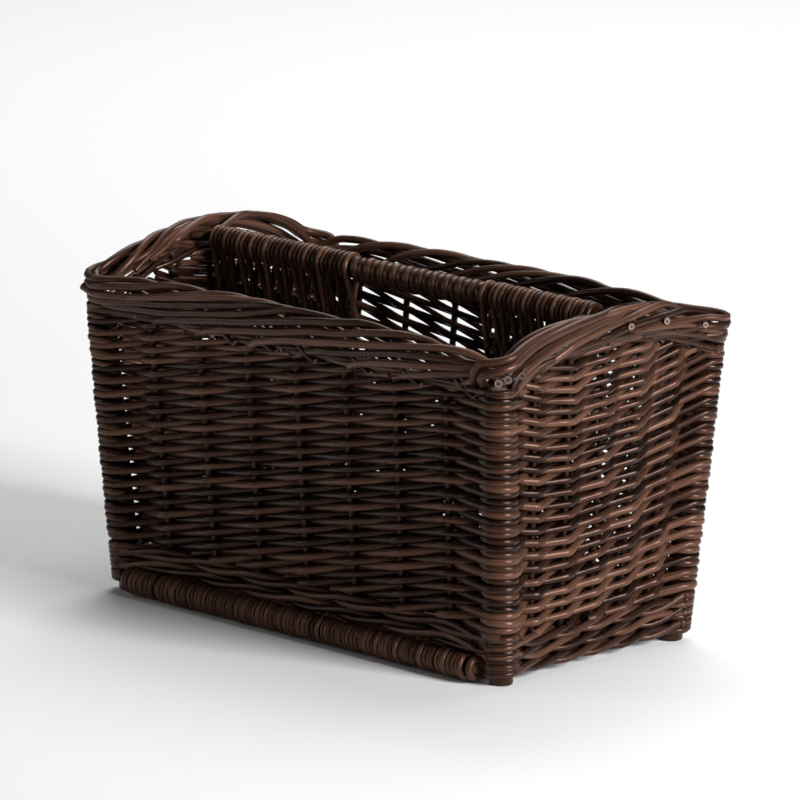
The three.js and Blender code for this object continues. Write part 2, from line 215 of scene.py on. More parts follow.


# %% [markdown]
# A swept tube is open at both ends. The holes are filled, and where a cut end shows, the new face
# is inset, which gives the ring of wood and the pith. Ends that slip in between other rods keep
# the stain. Every piece then gets its finishes and rides on the basket.

# %% Close the ends and lay the rods
def close_ends(mesh, sides, ends, ring):
    shape = bmesh.new()
    shape.from_mesh(mesh)
    for face in shape.faces:
        face.smooth = True
    caps = bmesh.ops.holes_fill(shape, edges=shape.edges[:], sides=sides)["faces"]
    for cap in caps:
        cap.smooth = False
        cap.material_index = 1 if ends else 0
        for edge in cap.edges:
            edge.smooth = False
    if ends:
        bmesh.ops.inset_individual(shape, faces=caps, thickness=ring * MM)
        for cap in caps:
            cap.material_index = 2
    shape.to_mesh(mesh)
    shape.free()


def mesh_of(shape, name):
    mesh = bpy.data.meshes.new(name)
    shape.to_mesh(mesh)
    shape.free()
    return mesh


def finish_piece(name, mesh, materials):
    piece = bpy.data.objects.new(name, mesh)
    scene.collection.objects.link(piece)
    for material in materials:
        mesh.materials.append(material)
    triangles = sum(len(face.vertices) - 2 for face in mesh.polygons)
    print(f"{name}: {triangles} triangles")
    return piece


def lay_rods(name, rods, materials, sides=8, ends=True, ring=0.9):
    """ends says whether cut ends show, and ring is how wide their ring is, in mm."""
    mesh = sweep_rods(name, rods, sides)
    map_rods(mesh, rods, sides)
    close_ends(mesh, sides, ends, ring)
    return finish_piece(name, mesh, materials)


def settle(piece, slot, *nodes):
    """The piece rides on the basket and stands for CAD nodes if any are given. slot is not used."""
    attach(piece, "root")
    if nodes:
        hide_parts(*nodes)


# %% [markdown]
# A finish in Blender is a small graph of nodes. These helpers each add one step to it, so that
# the finishes below read as a recipe.

# %% Helpers for finishes
def nodes_of(material):
    material.use_nodes = True
    tree = material.node_tree
    tree.nodes.clear()
    output = tree.nodes.new("ShaderNodeOutputMaterial")
    shader = tree.nodes.new("ShaderNodeBsdfPrincipled")
    tree.links.new(shader.outputs["BSDF"], output.inputs["Surface"])
    return tree, shader


def noise(tree, source, scale, detail, rough):
    """Noise over a map. An axis with a small scale is one along which it is drawn out long."""
    mapping = tree.nodes.new("ShaderNodeMapping")
    mapping.inputs["Scale"].default_value = scale
    tree.links.new(source, mapping.inputs["Vector"])
    node = tree.nodes.new("ShaderNodeTexNoise")
    node.inputs["Scale"].default_value = 1.0
    node.inputs["Detail"].default_value = detail
    node.inputs["Roughness"].default_value = rough
    tree.links.new(mapping.outputs["Vector"], node.inputs["Vector"])
    return node.outputs["Fac"]


def math_node(tree, kind, *values):
    node = tree.nodes.new("ShaderNodeMath")
    node.operation = kind
    for socket, value in zip(node.inputs, values):
        if isinstance(value, (int, float)):
            socket.default_value = value
        else:
            tree.links.new(value, socket)
    return node.outputs[0]


def ramp(tree, value, stops):
    node = tree.nodes.new("ShaderNodeValToRGB")
    while len(node.color_ramp.elements) < len(stops):
        node.color_ramp.elements.new(1.0)
    for element, (place, colour) in zip(node.color_ramp.elements, stops):
        element.position = place
        element.color = (*colour, 1.0)
    tree.links.new(value, node.inputs["Fac"])
    return node.outputs["Color"]


# %% [markdown]
# The willow is stained a dark espresso brown and sealed with a thin satin lacquer. The stain takes
# unevenly: each rod has its own depth, thin streaks run along it, and patches are darker. So the
# colour is a ramp driven by the rod's tone and by noise drawn out along the rod, and the same
# streaks move the roughness and a very fine bump. Sticks that keep their CAD shape have no map of
# their own and take the pattern from object space.

# %% Stained willow
STAIN = [
    (0.18, (0.0045, 0.0017, 0.0011)),
    (0.42, (0.0165, 0.0066, 0.0039)),
    (0.66, (0.0420, 0.0180, 0.0108)),
    (0.90, (0.1080, 0.0520, 0.0330)),
]
STREAK_SHARE, PATCH_SHARE, TONE_SHARE = 0.55, 0.34, 0.70
STAIN_DEPTH = 0.295
SMOOTHEST, ROUGHEST = 0.22, 0.38
SHEEN_TINT = (1.0, 0.62, 0.50, 1.0)


def willow(name, along_rods=True, tone=0.5):
    material = bpy.data.materials.new(name)
    tree, shader = nodes_of(material)
    if along_rods:
        source = tree.nodes.new("ShaderNodeUVMap")
        source.uv_map = "rod_map"
        vector = source.outputs["UV"]
        attribute = tree.nodes.new("ShaderNodeAttribute")
        attribute.attribute_name = "tone"
        tone = attribute.outputs["Fac"]
        streak_scale, patch_scale = (30.0, 900.0, 1.0), (18.0, 40.0, 1.0)
    else:
        vector = tree.nodes.new("ShaderNodeTexCoord").outputs["Object"]
        streak_scale, patch_scale = (500.0, 500.0, 25.0), (30.0, 30.0, 18.0)
    streaks = noise(tree, vector, streak_scale, 4.0, 0.6)
    patches = noise(tree, vector, patch_scale, 2.0, 0.5)
    mixed = math_node(tree, "MULTIPLY", streaks, STREAK_SHARE)
    mixed = math_node(tree, "ADD", mixed, math_node(tree, "MULTIPLY", patches, PATCH_SHARE))
    mixed = math_node(tree, "ADD", mixed, math_node(tree, "MULTIPLY", tone, TONE_SHARE))
    mixed = math_node(tree, "SUBTRACT", mixed, STAIN_DEPTH)
    tree.links.new(ramp(tree, mixed, STAIN), shader.inputs["Base Color"])
    rough = math_node(tree, "MULTIPLY_ADD", streaks, ROUGHEST - SMOOTHEST, SMOOTHEST)
    tree.links.new(rough, shader.inputs["Roughness"])
    shader.inputs["IOR"].default_value = 1.33
    shader.inputs["Specular IOR Level"].default_value = 0.62
    shader.inputs["Specular Tint"].default_value = SHEEN_TINT
    bump = tree.nodes.new("ShaderNodeBump")
    bump.inputs["Strength"].default_value = 0.55
    bump.inputs["Distance"].default_value = 0.0004
    tree.links.new(streaks, bump.inputs["Height"])
    tree.links.new(bump.outputs["Normal"], shader.inputs["Normal"])
    return material


willow_rod = willow("stained_willow_rod")
willow_stick = willow("stained_willow_stick", along_rods=False)
print("willow ramp:", [stop for stop, _ in STAIN])

# %% [markdown]
# Where a rod is cut across, the stain has soaked in less. The wood shows as a paler ring round a
# small dark pith. Both are plain materials with a little noise, so no two ends are quite alike.

# %% Cut ends
def cut_willow(name, pale, dark):
    material = bpy.data.materials.new(name)
    tree, shader = nodes_of(material)
    source = tree.nodes.new("ShaderNodeTexCoord")
    spots = noise(tree, source.outputs["Object"], (900.0, 900.0, 900.0), 3.0, 0.55)
    tree.links.new(ramp(tree, spots, [(0.3, dark), (0.7, pale)]), shader.inputs["Base Color"])
    shader.inputs["Roughness"].default_value = 0.75
    return material


cut_ring = cut_willow("cut_willow_ring", (0.24, 0.165, 0.13), (0.11, 0.072, 0.055))
cut_pith = cut_willow("cut_willow_pith", (0.06, 0.036, 0.026), (0.02, 0.012, 0.009))
ROD_FINISH = [willow_rod, cut_ring, cut_pith]
print("a rod's finishes:", [material.name for material in ROD_FINISH])

# %% [markdown]
# The walls are not woven in level rows. Forty-four rods are started round the foot, each one
# passes in front of an upright and behind the next, and they all climb together like a screw
# thread with forty-four starts. That is why the strokes on the real walls slant against the rim.
# A rod is known by its number, and its level counts rods upwards from the wale: number plus climb.

# %% How the wall rods climb
WEAVERS = 44
CLIMB_AFTER_CORNER, CLIMB_BEFORE_CORNER = 1.7, 0.65
CLIMB_ON_LONG_SIDE, CLIMB_ON_END = 2.0, 1.4

span_climbs = []
for wall, stakes in enumerate(STAKES):
    between = CLIMB_ON_LONG_SIDE if is_long(wall) else CLIMB_ON_END
    span_climbs += [CLIMB_AFTER_CORNER] + [between] * (stakes - 1) + [CLIMB_BEFORE_CORNER]
CLIMB = np.r_[0, np.cumsum(span_climbs)] * (WEAVERS / sum(span_climbs))


def climb_at(place):
    turns, rest = divmod(place, UPRIGHTS)
    whole = int(rest)
    part = rest - whole
    return turns * WEAVERS + CLIMB[whole] + (CLIMB[whole + 1] - CLIMB[whole]) * part


print("climb on a long side and an end, in rods:", np.diff(CLIMB[[0, 8, 14]]).round(1))

# %% [markdown]
# A rod tapers from butt to tip as it climbs, so the levels come closer together towards the rim.
# The short ends are beaten closer still. Each rod also has its own thickness, swells and thins a
# little from stake to stake, and never lies quite level, as grown willow does.

# %% How high and how thick a wall rod is
WEAVE_FOOT = 41.3
LEVEL_STEP = 5.15
THINNING = 0.0105
END_DROP, END_BEATING, END_BLEND = 5.5, 0.085, 1.7
LONG_SIDE_ROD, END_ROD = 2.80, 3.04
THINNEST_LEVEL = 40


def chance(*keys):
    """A number from -1 to 1 that is always the same for the same keys."""
    return random.Random(repr(keys)).uniform(-1.0, 1.0)


def height_of(level, place):
    height = WEAVE_FOOT + LEVEL_STEP * level - THINNING * level * level
    wall, _ = wall_of(place)
    if is_long(wall):
        return height
    near = min(spans_to_corner(place) / END_BLEND, 1.0)
    return height - near * near * (3 - 2 * near) * (END_DROP + END_BEATING * (height - WEAVE_FOOT))


def level_at(rod, number):
    return rod + climb_at(number)


def rise_at(rod, number):
    return height_of(level_at(rod, number), number) + 0.65 * chance("rise", rod, number)


def thick_at(rod, number):
    """The radius in mm."""
    level = min(max(level_at(rod, number), 0), THINNEST_LEVEL)
    full = LONG_SIDE_ROD if is_long(wall_of(number)[0]) else END_ROD
    own = 1.0 + 0.09 * chance("thick", rod)
    return (full - THINNING * level) * own * (1 + 0.04 * chance("knot", rod, number))


print("levels 0, 10, 20 and 30 at a front stake:", [round(height_of(k, 4), 1) for k in (0, 10, 20, 30)])

# %% [markdown]
# At a corner post every second rod would pass behind the post and leave it bare, so the weaver
# takes such a rod once more round the post. Both kinds are arcs about the post, one of them
# outside and one nearly a full turn, joined to the wall by straight runs that touch the arc.

# %% Round a corner post
ARC_STEP = math.radians(17)


def stake_point(number, side, height, thick, extra=0.0):
    """Beside a stake. side is 1 outside the wall and -1 inside it."""
    wall, _ = wall_of(number)
    return upright_at(number, height) + OUT[wall] * side * (STAKE_RADIUS + thick + extra)


def corner_arc(number, side, height, thick):
    """Plan points round a corner post, from the last stake's side to the next one's."""
    centre = upright_at(number, height)
    gap_in = centre - stake_point(number - 1, -side, height, thick)
    gap_out = stake_point(number + 1, -side, height, thick) - centre
    radius = POST_RADIUS + thick
    lean_in = math.asin(radius / np.linalg.norm(gap_in))
    lean_out = math.asin(radius / np.linalg.norm(gap_out))
    start = math.atan2(gap_in[1], gap_in[0]) - side * (lean_in + FULL / 4)
    end = math.atan2(gap_out[1], gap_out[0]) + side * (lean_out - FULL / 4)
    if side > 0:
        while end < start:
            end += FULL
    else:
        while end > start:
            end -= FULL
        while start - end > FULL:
            end += FULL
    steps = max(int(abs(end - start) / ARC_STEP), 4)
    angles = np.linspace(start, end, steps + 1)
    return centre + radius * np.c_[np.cos(angles), np.sin(angles)]


for side, kind in ((1, "outside"), (-1, "inside, with its extra turn")):
    print("points round a corner post,", kind, len(corner_arc(8, side, 100.0, 2.6)))

# %% [markdown]
# A path is a list of marks: place, x, y, height and radius. At a stake it is one mark, and at a
# corner post a whole arc, which climbs by about the rod's thickness where it is nearly a full
# turn.

# %% Marks at an upright
STAKE_SWELL = 1.05
TURN_CLIMB = 2.3
ARC_SHARE = 0.1


def turn_climb(side):
    return 0.0 if side > 0 else TURN_CLIMB


def pass_upright(rod, number, side):
    height, thick = rise_at(rod, number), thick_at(rod, number)
    if not is_corner(number):
        spot = stake_point(number, side, height, thick, 0.7 * chance("out", rod, number))
        return [(number, *spot, height, thick * STAKE_SWELL)]
    marks = []
    arc = corner_arc(number, side, height, thick)
    for point, share in zip(arc, np.linspace(-1, 1, len(arc))):
        marks.append((number + ARC_SHARE * share, *point, height + turn_climb(side) * share, thick))
    return marks


print("marks at a stake and at a corner post:", *[len(pass_upright(0, k, 1)) for k in (4, 8)])

# %% [markdown]
# Between two stakes a rod runs nearly straight from the outside of the wall to the inside, and it
# is a little thinner there than where it bends round a stake. Beside a corner post it is pulled
# straight to where it touches the arc.

# %% Marks between two uprights
STROKE = [(0.08, 0.94), (0.2, 0.66), (0.5, 0.0), (0.8, -0.66), (0.92, -0.94)]
CORNER_SWELL = 1.08
LOWEST_LEVEL, HIGHEST_LEVEL = -3, 56


def span_of(rod, number):
    """Height and radius at an upright, and at the next one."""
    return [at(rod, k) for k in (number, number + 1) for at in (rise_at, thick_at)]


def beside_corner(rod, number, side, last):
    """The straight run between a stake and the arc round a corner post."""
    height, thick, following, next_thick = span_of(rod, number)
    if is_corner(number + 1):
        goal = corner_arc(number + 1, -side, following, next_thick)[0]
        following -= turn_climb(-side)
        start, shares = number, (0.1, 0.35, 0.6, 0.85)
    else:
        goal = stake_point(number + 1, -side, following, next_thick)
        height += turn_climb(side)
        start, shares = number + ARC_SHARE, (0.15, 0.4, 0.65, 0.9)
    marks = []
    for share in shares:
        point = last + (goal - last) * share
        rise = height + (following - height) * share
        width = (thick + (next_thick - thick) * share) * CORNER_SWELL
        marks.append((start + (1 - ARC_SHARE) * share, *point, rise, width))
    return marks


def between_stakes(rod, number, side):
    """The stroke from one stake to the next, on which the rod changes sides."""
    height, thick, following, next_thick = span_of(rod, number)
    wall, _ = wall_of(number)
    marks = []
    for share, reach in STROKE:
        rise = height + (following - height) * share
        here = upright_at(number + share, rise)
        point = here + OUT[wall] * side * reach * (STAKE_RADIUS + thick)
        width = (thick + (next_thick - thick) * share) * (0.90 + 0.17 * reach * reach)
        marks.append((number + share, *point, rise, width))
    return marks


def rod_marks(rod):
    """All marks of one rod, from below the wale to above the border."""
    marks = []
    for number in range(2 * UPRIGHTS):
        if not LOWEST_LEVEL < level_at(rod, number) < HIGHEST_LEVEL:
            continue
        side = 1 if (rod + number) % 2 == 0 else -1
        marks += pass_upright(rod, number, side)
        if is_corner(number) or is_corner(number + 1):
            marks += beside_corner(rod, number, side, np.array(marks[-1][1:3]))
        else:
            marks += between_stakes(rod, number, side)
    return marks


print("marks along the first rod:", len(rod_marks(0)))

# %% [markdown]
# The marks reach past the wall, so each path is cut where it enters and leaves the wall's own
# height, from the top of the wale to just under the border. All the rods together are one piece,
# which stands for the four walls and the four corner wraps.

# %% The four walls
WEAVE_BOTTOM_LONG, WEAVE_BOTTOM_END = 38.5, 32.0
BELOW_RIM = 4.8
FEWEST_MARKS = 8


def in_wall(mark):
    place, height = mark[0], mark[3]
    bottom = WEAVE_BOTTOM_LONG if is_long(wall_of(place)[0]) else WEAVE_BOTTOM_END
    return bottom <= height <= WALL_TOP - BELOW_RIM + arch_at(place)


def wall_rod(rod):
    pieces, run = [], []
    for mark in rod_marks(rod) + [None]:
        if mark is not None and in_wall(mark):
            run.append(mark)
            continue
        if len(run) >= FEWEST_MARKS:
            pieces.append(np.array(run))
        run = []
    tones = [0.5 + 0.5 * chance("tone", rod, k) for k in range(len(pieces))]
    return [(piece[:, 1:4], piece[:, 4], tone) for piece, tone in zip(pieces, tones)]


wall_rods = []
for rod in range(-WEAVERS + 1, 1):
    wall_rods += wall_rod(rod)
print("wall rods:", len(wall_rods), "longest", max(len(points) for points, _, _ in wall_rods), "points")

randing = lay_rods("wall_randing", wall_rods, ROD_FINISH, ends=False)
wall_nodes = [f"{wall}_wall_weave" for wall in WALLS]
wrap_nodes = [f"corner_wrap_{corner}" for corner in CORNERS]
settle(randing, "wall_weave", *wall_nodes, *wrap_nodes)

# %% [markdown]
# From here on, a path is given by a few marks, and a smooth line is drawn through them. A
# Catmull-Rom path passes through every mark, so a mark can be put just where a rod is seen.

# %% Smooth paths
def smooth_path(points, steps):
    """A Catmull-Rom path through points, with the same number of steps in each gap."""
    points = np.asarray(points, float)
    padded = np.vstack([2 * points[0] - points[1], points, 2 * points[-1] - points[-2]])
    result = []
    for k in range(1, len(padded) - 2):
        p0, p1, p2, p3 = padded[k - 1:k + 3]
        for step in range(steps):
            u = step / steps
            result.append(0.5 * ((2 * p1) + (p2 - p0) * u + (2 * p0 - 5 * p1 + 4 * p2 - p3) * u * u
                                 + (3 * p1 - p0 - 3 * p2 + p3) * u ** 3))
    result.append(points[-1])
    return np.array(result)


print("a smooth path through three marks:", len(smooth_path([(0, 0), (1, 1), (2, 0)], 4)), "points")

# %% [markdown]
# A wale is a stronger band at the foot and just under the rim. Three rods travel together, and
# each passes in front of two uprights and behind one, always laid over the other two. Seen from
# outside the strokes lie like the strands of a rope. One helper makes a course at any height.

# %% A wale course
def wale_course(key, height_at, start, end, radius, swing, tone):
    """Three rods from one upright to another. swing is how far a stroke rises over its length."""
    rods = []
    for strand in range(3):
        marks = []
        for number in range(start, end + 1):
            phase = (number + strand) % 3
            rise = (0.0, -swing, swing)[phase] + 0.3 * chance(key, strand, number)
            height = height_at(number) + rise
            if is_corner(number):
                arc = corner_arc(number, 1, height, radius)
                climb = np.linspace(-swing * 0.25, swing * 0.25, len(arc))
                marks += [(*point, height + lift, radius) for point, lift in zip(arc, climb)]
            else:
                side = -1.0 if phase == 0 else 1.0
                marks.append((*stake_point(number, side, height, radius), height, radius))
        path = smooth_path(marks, 4)
        rods.append((path[:, :3], path[:, 3], tone + 0.4 * chance(key, strand)))
    return rods


# %% [markdown]
# Two courses go round the foot and rise a little from the short ends to the long sides. The short
# ends have a third course below them, because the roll of the base closes only the long sides.

# %% The lower wale
WALE_RADIUS = 2.6
COURSES = [("low", 25.0, 19.6), ("high", 34.6, 28.8)]
END_COURSE = (14.0, 10.2)


def foot_course(long_side, end_side):
    """The heights of a course, blended over the first span beside each corner."""
    def height(number):
        wall, _ = wall_of(number)
        middle = (long_side + end_side) / 2
        target = long_side if is_long(wall) else end_side
        return middle + (target - middle) * min(spans_to_corner(number), 1.0)
    return height


wale_rods = []
for key, long_side, end_side in COURSES:
    heights = foot_course(long_side, end_side)
    wale_rods += wale_course(key, heights, 0, UPRIGHTS, WALE_RADIUS, 2.9, 0.55)
for wall in (1, 3):
    heights = foot_course(*END_COURSE)
    course = wale_course(WALLS[wall], heights, FIRST[wall], wall_end(wall), WALE_RADIUS, 2.6, 0.6)
    wale_rods += [(points[:-1], radii[:-1], tone) for points, radii, tone in course]
lower_wale = lay_rods("lower_wale", wale_rods, ROD_FINISH)
settle(lower_wale, "wall_weave", *[f"{wall}_wale" for wall in WALLS])

# %% [markdown]
# One thin course closes the top of the walls. The border hides most of it, but without it the
# light would come through between the wall and the rim.

# %% The upper wale
UPPER_WALE_DROP = 2.4


def under_rim(number):
    return WALL_TOP - UPPER_WALE_DROP + arch_at(number)


upper_rods = wale_course("rim", under_rim, 0, UPRIGHTS, 2.0, 1.6, 0.5)
upper_wale = lay_rods("upper_wale", upper_rods, ROD_FINISH)
settle(upper_wale, "wall_weave")

# %% [markdown]
# The rim is finished with the stakes themselves. Each stake comes up, bends to the right, runs
# outside the wall while later ones are laid under it, goes over the top and down inside, and
# its cut tip comes out again between the others. So a border rod is a stake's own path: how
# far it has gone, how far out it lies, and how high over the wall's top.
#
# The rim line turns the corners on a small radius. Round the front left and the back right corner
# the border stands out in a loose loop, and more so the higher it lies.

# %% The rim's path
RIM_ROUND = 3.0
LOOSE_CORNERS = {0: 12.0, 2: 16.0}
TIGHT_CORNER = 2.0
LOOSE_REACH = 38.0
LOOSE_HEIGHT = 13.0


def looseness(wall, share, near, height):
    corner = (wall + (share > 0.5)) % 4
    lifted = min(max((height - WALL_TOP) / LOOSE_HEIGHT, 0.3), 1.0)
    loose = LOOSE_CORNERS.get(corner, TIGHT_CORNER) * lifted
    return loose * max(1 - near / LOOSE_REACH, 0.0) ** 2


def rim_point(place, out, height):
    """A point beside the rim line."""
    wall, share = wall_of(place)
    start, end = corner_at(wall, height), corner_at(wall + 1, height)
    length = np.linalg.norm(end - start)
    distance = share * length
    near = min(distance, length - distance)
    out = out + looseness(wall, share, near, height)
    if near >= RIM_ROUND:
        return start + ALONG[wall] * distance + OUT[wall] * out
    turn = math.radians(45) * (1 - near / RIM_ROUND)
    corner, onward = (start, ALONG[wall]) if share < 0.5 else (end, -ALONG[wall])
    pivot = corner + onward * RIM_ROUND - OUT[wall] * RIM_ROUND
    facing = OUT[wall] * math.cos(turn) - onward * math.sin(turn)
    return pivot + facing * (RIM_ROUND + out)


def straight_point(wall, place, out, height):
    """A point beside one wall's own line, which may run on past its corner posts."""
    start, end = corner_at(wall, height), corner_at(wall + 1, height)
    share = (place - FIRST[wall]) / (STAKES[wall] + 1)
    return start + (end - start) * share + OUT[wall] * out


print("rim at the front left corner:", rim_point(0.0, 8.0, WALL_TOP + 15.0).round(1))

# %% [markdown]
# A border rod gets its marks as place, distance out from the wall, and height over its top. It is
# then given small bends of its own, smoothed, and tapered from its butt to its tip. The border of
# a long side swells upwards in the middle, where the most rods lie on each other.

# %% One border rod
SWELL = 7.0
SWELL_HEIGHT = 19.0
BUTT, TIP = 1.07, 0.80


def swell(place):
    wall, share = wall_of(place)
    return SWELL * (1 - (2 * share - 1) ** 2) if is_long(wall) else 0.0


def border_rod(key, marks, radius, straight=None, tone=0.72):
    """straight names a wall that the rod stays in line with, even past its corner."""
    points = []
    for place, out, rise in smooth_path(marks, 7):
        step = int(round(place * 2))
        out = out + 0.5 * chance(key, "out", step)
        rise = rise + 0.6 * chance(key, "rise", step)
        bow = swell(place) * min(max(rise / SWELL_HEIGHT, 0.0), 1.0)
        height = WALL_TOP + rise + bow + arch_at(place)
        if straight is None:
            spot = rim_point(place, out, height)
        else:
            spot = straight_point(straight, place, out, height)
        points.append((*spot, height))
    points = np.array(points)
    for _ in range(3):
        points[1:-1] = points[1:-1] * 0.5 + (points[:-2] + points[2:]) * 0.25
    radii = radius * np.linspace(BUTT, TIP, len(points))
    return points, radii, tone + 0.4 * chance(key, "tone")


def moved(run, start):
    """A run's marks, counted on from a place on the rim."""
    return [(start + passed, out, rise) for passed, out, rise in run]


# %% [markdown]
# On a long side a rod's tip slips out below the border and points down. On an end it comes out
# between two other rods, so its round cut face shows. Where a long side ends, its last rods are
# tucked in behind the new ones of the short end, and the end's rods are lifted over them.

# %% The stakes' own rods
LONG_RUN = [
    (0.0, 0.0, -8.0), (0.16, 3.0, -4.8), (0.36, 5.8, -1.8), (0.62, 7.6, 0.6), (1.0, 8.5, 3.2),
    (2.0, 8.6, 8.2), (3.0, 7.4, 13.2), (3.7, 5.0, 17.0), (4.15, 1.6, 19.4), (4.5, -1.8, 19.4),
    (4.9, -5.2, 16.6), (5.3, -7.0, 11.0), (5.7, -6.4, 6.4), (6.0, -3.2, 3.6), (6.2, 1.8, 1.6),
    (6.4, 4.8, -1.4), (6.55, 5.6, -4.8),
]
END_RUN = [
    (0.0, 0.0, -8.0), (0.16, 3.2, -4.2), (0.38, 6.2, -0.6), (0.65, 7.8, 2.4), (1.0, 8.5, 5.2),
    (2.0, 8.0, 11.0), (2.8, 6.0, 16.2), (3.4, 2.2, 19.4), (3.9, -2.6, 19.2), (4.4, -6.2, 14.0),
    (4.9, -5.6, 8.0), (5.3, -2.4, 4.0), (5.6, 2.8, 1.0), (5.85, 5.4, -3.0),
]
FREE_RUN = 6.4
DEEPEST_TUCK = -9.0
LIFT, HIGHEST_RISE = 3.4, 19.6


def long_side_marks(number, end):
    marks = moved(LONG_RUN, number)
    left_over = end - number
    if left_over > FREE_RUN:
        return marks
    kept = [mark for mark in marks if mark[0] < end - 0.45]
    tuck = max(4.0 - 4.2 * (left_over - 1), DEEPEST_TUCK)
    return kept + [(end - 0.12, tuck + 1.0, 9.0 + 0.6 * left_over), (end + 0.08, tuck, 8.2)]


def short_end_marks(number, end):
    marks = []
    for passed, out, rise in END_RUN:
        beside = max(1 - abs(number + passed - end) / 0.9, 0.0)
        lift = LIFT * beside if passed < 3 else 0.0
        marks.append((number + passed, out, min(rise + lift, HIGHEST_RISE)))
    return marks


def stake_rods(wall):
    rods = []
    end = wall_end(wall)
    for number in range(FIRST[wall] + 1, end):
        key, bend = (WALLS[wall], number), 0.25 * chance("size", number)
        if is_long(wall):
            straight = wall if end - number < FREE_RUN else None
            rods.append(border_rod(key, long_side_marks(number, end), 3.2 + bend, straight))
        else:
            rods.append(border_rod(key, short_end_marks(number, end), 3.0 + bend, tone=0.58))
    return rods


# %% [markdown]
# A short end has nine more rods than its stakes give. Two thick ones rise over its first corner
# and a third one starts inside, and the cut ends of all three come out on the arch. Three start
# in line with the end, with their cut ends beside that corner. Three fill the border from below.

# %% More rods on the short ends
CORNER_RUNS = [
    # radius, whether it stays in line with the wall, marks
    (3.15, False, [
        (-0.38, 0.0, 0.0), (-0.36, 4.6, 2.6), (-0.31, 8.6, 8.0), (-0.21, 9.6, 14.4), (-0.04, 9.0, 20.0),
        (0.4, 7.6, 22.2), (1.2, 5.6, 20.8), (2.0, 2.0, 19.6), (2.4, -3.2, 17.6), (2.8, -5.4, 12.4),
        (3.2, -0.6, 9.4), (3.34, 6.0, 8.6), (3.31, 12.6, 8.2)]),
    (3.25, False, [
        (-0.16, 0.0, 0.0), (-0.15, 5.0, 2.6), (-0.11, 9.8, 7.6), (-0.03, 11.0, 13.0), (0.1, 10.8, 17.0),
        (0.6, 9.4, 18.8), (1.6, 8.0, 17.8), (2.6, 5.6, 18.2), (3.1, 1.8, 19.5), (3.6, -3.4, 17.6),
        (4.0, -5.4, 13.0), (4.25, -0.6, 10.8), (4.36, 6.0, 10.2), (4.33, 12.6, 9.8)]),
    (2.95, False, [
        (-0.1, -8.0, 4.0), (0.4, -8.0, 12.0), (0.9, -4.4, 18.0), (1.4, 0.6, 20.4), (2.0, 3.8, 19.6),
        (2.8, 4.6, 18.4), (3.7, 2.6, 19.4), (4.2, -2.0, 19.0), (4.6, -5.4, 14.6), (4.95, -4.8, 12.4),
        (5.3, -0.4, 11.6), (5.42, 6.0, 11.2), (5.39, 12.6, 11.0)]),
    (2.7, True, [
        (-0.36, 13.0, 8.0), (-0.14, 9.0, 7.8), (0.5, 6.4, 9.2), (1.0, 6.4, 11.2), (2.0, 6.8, 14.0),
        (2.9, 5.2, 16.8), (3.5, 1.6, 18.8), (4.1, -3.6, 17.4), (4.8, -6.2, 11.0), (5.2, -5.0, 7.0)]),
    (2.7, True, [
        (-0.16, 15.0, 9.2), (0.06, 11.0, 9.2), (0.6, 8.6, 10.8), (1.2, 7.8, 12.6), (2.1, 6.8, 15.6),
        (2.9, 2.8, 18.8), (3.5, -2.6, 18.2), (4.3, -6.4, 12.0), (4.8, -5.4, 7.0)]),
    (2.7, True, [
        (0.2, 16.0, 8.0), (0.42, 12.0, 7.8), (1.0, 10.0, 8.0), (1.8, 8.8, 10.8), (2.7, 7.6, 14.0),
        (3.4, 4.0, 17.8), (4.0, -1.8, 18.4), (4.7, -6.0, 12.6), (5.2, -5.4, 7.0)]),
]
UNDER_RUNS = [
    [(0.9, 4.0, -2.0), (1.5, 7.0, 0.4), (2.4, 8.2, 1.6), (3.6, 8.6, 2.0), (4.8, 8.4, 2.4), (5.75, 8.0, 2.6)],
    [(2.9, 5.0, -1.0), (3.4, 7.6, 2.0), (4.2, 8.8, 5.2), (5.0, 9.2, 7.2), (5.9, 9.2, 8.2), (6.5, 8.8, 8.6)],
    [(3.9, 5.0, -1.0), (4.4, 7.6, 1.0), (5.2, 8.6, 2.4), (5.8, 8.8, 3.4), (6.1, 8.6, 3.6), (6.6, 8.4, 3.6)],
]


def rods_added_on_end(wall):
    rods = []
    for k, (radius, in_line, run) in enumerate(CORNER_RUNS):
        straight = wall if in_line else None
        # The two thick rods over the corner take the lightest tone: partly their own paler willow, partly a
        # painted highlight where the light catches them.
        tone = 1.0 if k < 2 else 0.6
        key = (WALLS[wall], "corner", k)
        rods.append(border_rod(key, moved(run, FIRST[wall]), radius, straight, tone))
    for k, run in enumerate(UNDER_RUNS):
        rods.append(border_rod((WALLS[wall], "under", k), moved(run, FIRST[wall]), 2.7))
    return rods


# %% [markdown]
# On a long side short tips point down from under the border, and three rods start at its first
# corner, where they fill the border until the side's own stakes have turned down.

# %% More rods on the long sides
TIP_RUN = [(-0.35, -4.0, 7.0), (-0.1, 0.0, 4.6), (0.1, 4.6, 1.8), (0.28, 7.4, -1.6), (0.5, 8.0, -6.4)]
TIP_PLACES = [2.4, 3.25, 4.05, 5.15, 6.15, 7.2]
LOOP_RUNS = [
    [(-0.2, 10.0, 9.0), (0.3, 9.0, 8.6), (0.9, 8.6, 10.6), (1.8, 7.2, 14.4), (2.6, 4.2, 18.4),
     (3.1, 0.4, 19.6), (3.7, -4.6, 17.4), (4.4, -6.8, 10.6), (4.9, -6.0, 6.0)],
    [(0.0, 9.4, 5.4), (0.5, 8.8, 5.4), (1.2, 8.4, 7.8), (2.2, 7.6, 12.2), (3.0, 5.2, 16.6),
     (3.6, 1.6, 19.2), (4.2, -4.0, 17.6), (4.9, -6.8, 10.6), (5.4, -6.0, 6.0)],
    [(0.1, 6.0, 0.6), (0.6, 8.6, 2.6), (1.3, 8.8, 4.2), (2.1, 8.6, 7.4), (3.0, 8.0, 12.0),
     (3.6, 5.4, 16.2), (4.2, 1.6, 19.2), (4.8, -4.0, 17.6), (5.4, -6.4, 11.0), (5.9, -6.0, 7.0)],
]
EARLIEST_BUTT = {0: -0.2, 2: -0.02}


